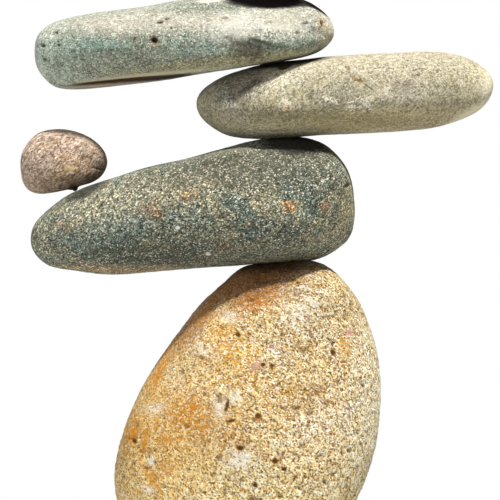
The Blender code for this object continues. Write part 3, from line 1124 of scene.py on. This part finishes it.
OLIVE = Finish(
    name="olive_stone",
    ground=(0.487, 0.437, 0.27),
    drifts=(
        Drift((0.469, 0.432, 0.315), 20, 0.45, 0.62, 0.7, 31),
        Drift((0.324, 0.306, 0.225), 9, 0.52, 0.64, 0.65, 32),
        Drift((0.541, 0.451, 0.244), 6, 0.56, 0.68, 0.5, 33),
        Drift((0.27, 0.261, 0.18), 5, 0.55, 0.65, 0.45, 39),
        Drift((0.649, 0.613, 0.469), 3.6, 0.58, 0.66, 0.45, 30),
    ),
    stains_and_light=(
        StainAndLight(66, 268, 56, 7, (0.6, 0.552, 0.418), 0.7, 2, deep=90, soft=0.7),
        StainAndLight(56, 239.5, 44, 5.5, (0.33, 0.255, 0.085), 0.8, 2, soft=0.7, deep=60),
        Cloud(0, 242, 24, 7.5, (0.36, 0.324, 0.208), 0.55, -8),
        # Painted shadow: the slab's cast shadow on the upper left.
        StainAndLight(-9, 258, 17, 7.5, (0.18, 0.148, 0.126), 0.75, 28, soft=0.45, deep=45),
        StainAndLight(6, 264, 4.5, 1.8, (0.469, 0.423, 0.244), 0.55, 15),
        Cloud(46.5, 256, 9, 4.5, (0.27, 0.27, 0.216), 0.55),
        Cloud(74, 256, 9, 4.6, (0.225, 0.189, 0.162), 0.6),
        StainAndLight(51, 259.2, 3, 1.3, (0.5, 0.28, 0.08), 0.95, -20),
        StainAndLight(45, 266, 2.2, 1.2, (0.36, 0.252, 0.126), 0.75, -10),
        StainAndLight(14.5, 246.5, 1.8, 2.4, (0.631, 0.451, 0.27), 0.8),
        StainAndLight(-10, 246.5, 1.5, 1.5, (0.721, 0.703, 0.595), 0.7),
        StainAndLight(-16, 251.5, 4, 3, (0.198, 0.216, 0.198), 0.65),
        # Painted light: the right rim lightened where the light falls.
        StainAndLight(111, 254, 7, 16, (0.757, 0.685, 0.469), 0.75, 12, deep=120, soft=0.7),
        StainAndLight(89, 244, 12, 3.5, (0.451, 0.387, 0.225), 0.55, 8, soft=0.7),
        StainAndLight(108, 258, 1.6, 1, (0.396, 0.216, 0.09), 0.7, 40),
        Cloud(90, 256, 18, 10, (0.44, 0.4, 0.27), 0.45, 5),
    ),
    grains=(
        Grains(1.5, ((0.4, (1, 1, 1)), (0.28, (1.2, 1.22, 1.3)), (0.2, (0.7, 0.68, 0.65)),
               (0.12, (1.45, 1.5, 1.75))), 0.55, 7, seam=0.15),
        Grains(0.75, ((0.38, (0.95, 0.95, 0.93)), (0.3, (1.28, 1.28, 1.32)),
               (0.18, (0.46, 0.44, 0.38)), (0.14, (1.65, 1.7, 1.85))), 0.9, 8, seam=0.2),
    ),
    specks=(
        Drift((0.11, 0.09, 0.05), 0.8, 0.585, 0.65, 0.7, 35, 1, lift=-0.5),
        Drift((0.855, 0.811, 0.667), 0.75, 0.58, 0.65, 0.7, 36, 1, lift=0.4),
        Drift((0.829, 0.793, 0.649), 3.2, 0, 0.05, 0.42, 37, 2, lift=0.3, vein=True),
        Drift((0.145, 0.123, 0.072), 4.4, 0, 0.035, 0.4, 38, 2, lift=-0.3, vein=True),
    ),
    veils=(
        # Painted light: lighter rims along the lower right and the right end.
        StainAndLight(104.5, 242.5, 22, 1.9, (0.98, 0.9, 0.68), 0.6, 33, soft=0.6, deep=150),
        StainAndLight(115.5, 257, 3, 10, (0.98, 0.92, 0.74), 0.6, -8, soft=0.7, deep=120),
        Crumbs(46, 240, 60, 7, (0.92, 0.8, 0.46), 0.66, 3, ragged=7, deep=120),
        Crumbs(50, 240, 56, 5, (0.05, 0.035, 0.01), 0.66, -3, ragged=9, deep=120),
        Crumbs(36.5, 249.5, 4.4, 2.4, CHALK, 0.9, ragged=6, soft=0.25),
        Crumbs(47.5, 246.5, 3.4, 3.2, CHALK, 0.95, ragged=6, soft=0.25),
        Crumbs(54, 248, 4.4, 3.6, CHALK, 0.95, ragged=6, soft=0.25),
        Flakes(-14, 247, 3.4, 3.4, CHALK, 0.9, ragged=6),
        Crumbs(14, 248, 3.4, 2.4, CHALK, 0.85, ragged=6, soft=0.25),
        Crumbs(12, 258.5, 14, 5, CHALK, 0.6, 30, ragged=8, soft=0.4),
        Crumbs(74, 253, 16, 8, CHALK, 0.4, ragged=9, soft=0.4),
        Crumbs(75, 256, 6, 4, (0.216, 0.172, 0.154), 0.5),
        Crumbs(8, 241, 24, 5, (0.234, 0.198, 0.099), 0.45, -4, ragged=7),
        StainAndLight(13.5, 266.5, 4, 1.5, NEAR_BLACK, 0.9, 12, soft=0.4),
        # Painted shadow: the near-black contact line under the slab.
        StainAndLight(17, 268.6, 20, 1.6, NEAR_BLACK, 0.9, 8, soft=0.4, ragged=0.6, deep=90),
        # Painted shadow: a dark edge along the slab's cast shadow.
        StainAndLight(-5, 255.5, 9, 1.8, (0.06, 0.045, 0.03), 0.6, 38, soft=0.6),
    ),
    pit_colour=(0.1, 0.08, 0.05),
    roughness=0.78,
    polish=0.08,
    relief=0.3,
    way=45,
    crumb=1.5,
    stretch=1.3,
)

OVAL = Stone(
    node="olive_oval_cobble",
    cell=0.74,
    wear=Wear((0.2, 18), (0.1, 6), (0.07, 1.8), (0.18, 2.162, 0.469), 13),
    marks=(
        Mark(8, 240, 30, 14, -3.5, 0, straight=True),
        Mark(66, 246, 46, 24, 3.5, 4, straight=True),
        Mark(52, 237, 34, 12, 5, 3, straight=True),
        Mark(7, 0, 16, 24, -0.5, 0, 0, Side.TOP),
        Mark(51, 259.2, 2.6, 1, 0.6, -20, 0.5),
        Mark(55.5, 256.4, 4.5, 0.7, 0.5, -35, 0.7),
        Mark(45, 266, 2, 0.9, 0.4, -10, 0.4),
        Mark(13.5, 266, 3.4, 1.3, 0.9, 15, 0.9),
        Mark(3, 241, 4.5, 0.9, 0.5, 30, 0.3),
        Mark(74, 257.5, 7, 0.8, 0.35, 40, 0.15),
        Mark(68, 255, 7, 0.8, 0.3, 55, 0.15),
        Mark(81, 255, 7, 0.8, 0.3, 60, 0.15),
        Mark(17, 240, 6, 1, 0.4, 25, 0.25),
    ),
    finish=OLIVE,
)

TEAL = (0.2, 0.335, 0.3)

BLUE_GREY = Finish(
    name="blue_grey_stone",
    ground=(0.318, 0.367, 0.285),
    drifts=(
        Drift((0.475, 0.508, 0.418), 18, 0.45, 0.62, 0.6, 41),
        Drift((0.296, 0.383, 0.34), 10, 0.54, 0.68, 0.6, 42),
        Drift((0.394, 0.362, 0.241), 8, 0.58, 0.7, 0.5, 43),
        Drift((0.198, 0.208, 0.154), 5, 0.57, 0.67, 0.5, 44),
        Drift((0.186, 0.273, 0.236), 7, 0.54, 0.64, 0.5, 47),
        Drift((0.241, 0.219, 0.148), 3.2, 0.6, 0.67, 0.55, 48),
    ),
    stains_and_light=(
        Cloud(-84, 277.5, 20, 5, (0.25, 0.415, 0.38), 0.66),
        Cloud(-30, 275.5, 24, 5, TEAL, 0.5),
        Cloud(19, 277, 16, 3.5, TEAL, 0.45, 4),
        StainAndLight(-33.5, 297, 92, 15, (0.486, 0.476, 0.408), 0.85, 0.5, soft=0.35, ragged=1.7, deep=300),
        StainAndLight(12, 288.5, 30, 9.5, (0.56, 0.55, 0.49), 0.62, -4, soft=0.6, deep=90),
        StainAndLight(-60, 288, 40, 5, (0.6, 0.575, 0.49), 0.75, 3, soft=0.7, deep=90),
        Cloud(-104, 275, 16, 18, (0.47, 0.57, 0.48), 0.7, deep=90),
        Cloud(-108, 275, 4.5, 15, (0.68, 0.74, 0.62), 0.75, deep=90),
        Cloud(-103, 288, 9, 5, (0.545, 0.554, 0.486), 0.5, 30, deep=90),
        # Darker grey-green band along the top: partly painted shade where the top turns away.
        StainAndLight(-27, 296.5, 24, 3.6, (0.26, 0.295, 0.24), 0.85, 2, soft=0.6, deep=90),
        StainAndLight(-74, 292.5, 28, 2.2, (0.407, 0.435, 0.373), 0.6, 5, soft=0.6, deep=90),
        StainAndLight(-14, 268.5, 62, 4.2, (0.44, 0.39, 0.21), 0.75, 5.5, soft=0.6),
        Cloud(-72, 264.8, 18, 4, (0.329, 0.34, 0.241), 0.35),
        StainAndLight(-102.5, 281.4, 1.8, 1.4, (0.894, 0.894, 0.855), 0.95, ragged=0.8),
        StainAndLight(-51, 277, 3, 1.6, (0.62, 0.52, 0.38), 0.6),
        StainAndLight(-61, 280.3, 2.2, 1.2, (0.3, 0.19, 0.1), 0.55),
        StainAndLight(-36.5, 276.5, 1.6, 1.6, (0.26, 0.18, 0.1), 0.5),
        StainAndLight(-23, 289.5, 1.8, 0.9, (0.486, 0.34, 0.194), 0.6),
        StainAndLight(-15.5, 290, 3.4, 1, (0.447, 0.321, 0.194), 0.75),
        StainAndLight(-19, 276.5, 4, 1.2, (0.219, 0.175, 0.11), 0.55),
        Cloud(-62, 270, 13, 6, (0.2, 0.22, 0.155), 0.6),
        Cloud(-55, 276, 6, 4, (0.21, 0.225, 0.165), 0.6),
        Cloud(-84, 264, 4, 3, (0.219, 0.175, 0.11), 0.45),
        StainAndLight(37, 283, 5.5, 9, (0.8, 0.73, 0.58), 0.8, 10, soft=0.7, deep=120),
        StainAndLight(32.3, 288.2, 2, 3.4, (0.583, 0.408, 0.214), 0.7, 10, soft=0.6),
        Cloud(-70, 270, 40, 4, (0.42, 0.45, 0.35), 0.5, 4, ragged=4),
    ),
    grains=(
        Grains(2.8, ((0.36, (1, 1, 1)), (0.24, (1.16, 1.17, 1.18)), (0.26, (0.74, 0.73, 0.66)),
               (0.14, (1.28, 1.26, 1.2))), 0.65, 13, warp=0.8),
        Grains(1.25, ((0.4, (1, 1, 1)), (0.28, (1.22, 1.24, 1.26)), (0.22, (0.62, 0.62, 0.58)),
               (0.1, (1.5, 1.5, 1.6))), 0.55, 9, seam=0.15),
        Grains(0.85, ((0.42, (0.95, 0.95, 0.95)), (0.26, (1.22, 1.22, 1.24)),
               (0.18, (0.5, 0.5, 0.48)), (0.14, (1.75, 1.75, 1.8))), 0.9, 10, seam=0.2),
    ),
    specks=(
        Drift((0.06, 0.08, 0.055), 0.8, 0.575, 0.63, 0.75, 45, 1, lift=-0.4),
        Drift((0.9, 0.91, 0.84), 0.72, 0.6, 0.645, 0.8, 46, 1, lift=0.3),
    ),
    veils=(
        StainAndLight(-60, 288, 44, 4.5, (0.62, 0.585, 0.5), 0.3, 4, soft=0.7, deep=90),
        Cloud(-11.5, 286, 11, 6.5, (0.816, 0.807, 0.748), 0.5, 10, ragged=2),
        StainAndLight(12, 286, 9, 1.8, (0.836, 0.816, 0.719), 0.6, -4, soft=0.7, ragged=1),
        Cloud(14, 291, 12, 4, (0.7, 0.655, 0.54), 0.4, -4, ragged=2),
        # The scoop: brown colour, partly painted shade in its hollow.
        StainAndLight(-4.5, 275, 9, 5, (0.07, 0.05, 0.028), 0.8, -14, soft=0.7, ragged=4.5),
        Crumbs(-11.5, 279, 2.6, 2.2, (0.2, 0.14, 0.09), 0.5),
        # Painted shade: the scoop's dark arc.
        StainAndLight(4, 277.6, 7.5, 1.9, (0.08, 0.1, 0.075), 0.8, -20, soft=0.7, ragged=3.5),
        # Painted shade in the undercut groove, then a painted highlight on the edge above it.
        StainAndLight(-62.5, 259.9, 31, 1.5, NEAR_BLACK, 1, 5.2, soft=0.2, ragged=0.4, deep=120),
        StainAndLight(-57, 262, 34, 1, (0.699, 0.632, 0.447), 0.75, 5.2, soft=0.5, ragged=0.6, deep=120),
        StainAndLight(-74, 257.2, 24, 1.2, (0.505, 0.427, 0.311), 0.75, 4, soft=0.5, ragged=0.6, deep=120),
        # A pale streak along a scratch, partly a painted highlight.
        StainAndLight(-23.5, 299.2, 6.5, 0.9, (0.8, 0.78, 0.7), 0.8, 3, soft=0.4, ragged=0.8, deep=90),
        # Painted shadow of the capstone on the top, then its thin painted crescent on the right
        # shoulder.
        StainAndLight(4, 299.4, 20.5, 4.1, NEAR_BLACK, 0.98, -1, soft=0.2, ragged=0.3, deep=90),
        StainAndLight(31, 295.5, 11, 1.3, NEAR_BLACK, 0.95, -32, soft=0.4, ragged=0.3, deep=90),
    ),
    pit_colour=(0.075, 0.04, 0.015),
    roughness=0.68,
    polish=0.1,
    relief=0.2,
    way=0,
    crumb=1.6,
    stretch=1.2,
)

SLAB = Stone(
    node="blue_grey_slab",
    cell=0.76,
    wear=Wear((0.2, 22), (0.08, 6), (0.04, 1.6), (0.146, 2.332, 0.642), 17),
    marks=(
        Mark(2, 272, 40, 12, -2, 5, straight=True),
        Mark(-80, 262, 36, 14, 3.5, 4, straight=True),
        Mark(31, 293, 16, 10, -7, -32, straight=True),
        Mark(-51.3, 279.5, 2.3, 2.3, 3, 0, 1),
        Mark(-100, 283.5, 1.1, 1, 0.9, 0, 0.8),
        Mark(-99, 277.2, 1, 1, 0.8, 0, 0.8),
        Mark(-106.8, 277, 1.4, 1.2, 1.2, 0, 0.9),
        Mark(-106, 270, 1.1, 1.1, 0.9, 0, 0.8),
        Mark(-87.5, 270, 1.6, 0.8, 0.6, 0, 0.6),
        Mark(-48.5, 288.5, 2.6, 0.75, 0.9, 8, 1),
        Mark(-44.8, 290.4, 2, 0.7, 0.7, 8, 0.9),
        Mark(-42.8, 285.6, 1, 0.9, 0.7, 0, 0.8),
        Mark(-60.8, 280.2, 1, 0.9, 0.5, 0, 0.6),
        Mark(-16, 290.5, 2, 0.7, 0.5, 0, 0.6),
        Mark(24.2, 288.2, 2.6, 0.6, 0.6, 10, 0.8),
        Mark(32.3, 288.2, 2.2, 0.9, 1.1, 105, 1),
        Mark(20, 283.4, 0.9, 0.9, 0.6, 0, 0.8),
        Mark(10, 288, 9, 1.7, -0.35, -12),
        Mark(13, 285.4, 10, 1.8, 0.3, -4),
        Mark(-2, 275.6, 9, 3.6, 0.9, -14),
        Mark(1, 278.4, 8, 1.6, 0.6, -18, 0.2),
        # The undercut groove; its darkness is painted shade.
        Mark(-63.5, 259.7, 31, 1.2, 1.8, 5.2, 0.98),
        Mark(-25, 300, 12, 1.2, 0.5, 4),
    ),
    finish=BLUE_GREY,
)

CHARCOAL = Finish(
    name="charcoal_stone",
    ground=(0.055, 0.05, 0.055),
    drifts=(
        Drift((0.09, 0.07, 0.055), 16, 0.48, 0.64, 0.7, 51),
        Drift((0.035, 0.035, 0.045), 9, 0.54, 0.66, 0.6, 52),
    ),
    stains_and_light=(),
    grains=(
        Grains(1.5, ((0.5, (0.95, 0.95, 0.95)), (0.28, (1.5, 1.5, 1.5)), (0.14, (0.55, 0.55, 0.55)),
               (0.08, (2.6, 2.6, 2.5))), 0.6, 11, seam=0.3),
        Grains(1, ((0.5, (0.9, 0.9, 0.9)), (0.3, (1.6, 1.6, 1.6)), (0.14, (0.4, 0.4, 0.4)),
               (0.06, (3.6, 3.5, 3.3))), 0.8, 12, seam=0.3),
    ),
    specks=(Drift((0.015, 0.014, 0.016), 1.1, 0.58, 0.66, 0.6, 55, 2, lift=-0.6),),
    veils=(),
    pit_colour=(0.015, 0.014, 0.014),
    roughness=0.75,
    polish=0.1,
    relief=0.3,
    way=20,
    stretch=1.3,
)

CAPSTONE = Stone(
    node="dark_capstone",
    cell=0.75,
    wear=Wear((0.3, 16), (0.15, 5), (0.08, 1.8), (0.25, 2.4, 0.5), 21),
    marks=(
        Mark(2, 306, 40, 18, 2.5, 0, straight=True),
        Mark(28, 306, 22, 20, 6, 0, straight=True),
    ),
    finish=CHARCOAL,
)

STONES = (BOULDER, WEDGE, PEBBLE, OVAL, SLAB, CAPSTONE)


# ------------------------------
# Studio
# ------------------------------


@dataclass(frozen=True)
class Lamp:
    """A soft square light: the way to it, its distance, side and strength."""

    name: str
    azimuth: float  # degrees from straight in front, to the right
    elevation: float
    distance: float
    side: float
    power: float
    colour: Colour

    def hang(self, target: Vector) -> None:
        """Hang the light so that it faces the target.

        Args:
            target: The place it lights, in metres.
        """
        a, e = math.radians(self.azimuth), math.radians(self.elevation)
        way = Vector((math.sin(a) * math.cos(e), -math.cos(a) * math.cos(e), math.sin(e)))
        light = bpy.data.lights.new(self.name, "AREA")
        light.size = self.side
        light.energy = self.power
        light.color = self.colour
        lamp = bpy.data.objects.new(self.name, light)
        lamp.location = target + way * self.distance
        lamp.rotation_euler = (-way).to_track_quat("-Z", "Y").to_euler()
        bpy.context.scene.collection.objects.link(lamp)


@dataclass(frozen=True)
class Studio:
    """The plain pale floor, the white surroundings, the lights and the camera."""

    view_x: float = -3.5
    view_z: float = 175.0
    view_width: float = 250.0
    lens: float = 1400.0
    sensor: float = 36.0
    floor_radius: float = 0.5
    surround: float = 0.2
    lamps: tuple[Lamp, ...] = (
        Lamp("key", 27.0, 60.0, 1.6, 0.14, 36.0, (1.0, 0.97, 0.91)),
        Lamp("fill", -50.0, 8.0, 1.8, 1.2, 9.5, (0.96, 0.98, 1.0)),
    )

    def build(self) -> None:
        """Set up the whole studio."""
        self._camera()
        self._world()
        self._floor()
        for lamp in self.lamps:
            lamp.hang(Vector((self.view_x * MM, 0.0, self.view_z * MM)))
        bpy.context.scene.view_settings.view_transform = "Standard"

    def _camera(self) -> None:
        """A level long-lens camera, straight in front."""
        camera = bpy.data.cameras.new("camera")
        camera.lens = self.lens
        camera.sensor_width = self.sensor
        distance = self.view_width * MM * self.lens / self.sensor
        stand = bpy.data.objects.new("camera", camera)
        stand.location = (self.view_x * MM, -distance, self.view_z * MM)
        stand.rotation_euler = (math.pi / 2, 0.0, 0.0)
        bpy.context.scene.collection.objects.link(stand)
        bpy.context.scene.camera = stand

    def _world(self) -> None:
        """Surroundings that the camera sees as white and that light the stones gently."""
        world = bpy.data.worlds.new("surroundings")
        bpy.context.scene.world = world
        world.use_nodes = True
        bench = Bench(world.node_tree)
        seen = bench.add("ShaderNodeLightPath").outputs["Is Camera Ray"]
        glow = bench.calc("MULTIPLY_ADD", seen, 1.0 - self.surround, self.surround)
        background = world.node_tree.nodes["Background"]
        background.inputs["Color"].default_value = (1.0, 1.0, 1.0, 1.0)
        bench.feed(background.inputs["Strength"], glow)

    def _floor(self) -> None:
        """A plain pale disc to stand on."""
        bm = bmesh.new()
        bmesh.ops.create_circle(bm, cap_ends=True, radius=self.floor_radius, segments=96)
        mesh = bpy.data.meshes.new("floor")
        bm.to_mesh(mesh)
        bm.free()
        material = bpy.data.materials.new("floor")
        material.use_nodes = True
        bench = Bench(material.node_tree)
        place = bench.add("ShaderNodeTexCoord").outputs["Object"]
        mask = DRIFT.place(bench, Vector=place, Size=40.0, Low=0.3, High=0.7).outputs["Mask"]
        tone = bench.blend((0.86, 0.86, 0.85), (0.83, 0.83, 0.82), mask)
        shader = material.node_tree.nodes["Principled BSDF"]
        bench.feed(shader.inputs["Base Color"], tone)
        shader.inputs["Roughness"].default_value = 0.9
        mesh.materials.append(material)
        floor = bpy.data.objects.new("floor", mesh)
        bpy.context.scene.collection.objects.link(floor)


def main() -> None:
    """Build the studio and the stones, and log each stone's face count."""
    logging.basicConfig(level=logging.INFO, format="%(name)s: %(message)s")
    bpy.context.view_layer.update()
    Studio().build()
    for stone in STONES:
        piece = stone.build()
        LOG.info("%s: %d faces", piece.name, len(piece.data.polygons))


if __name__ == "__main__":
    main()
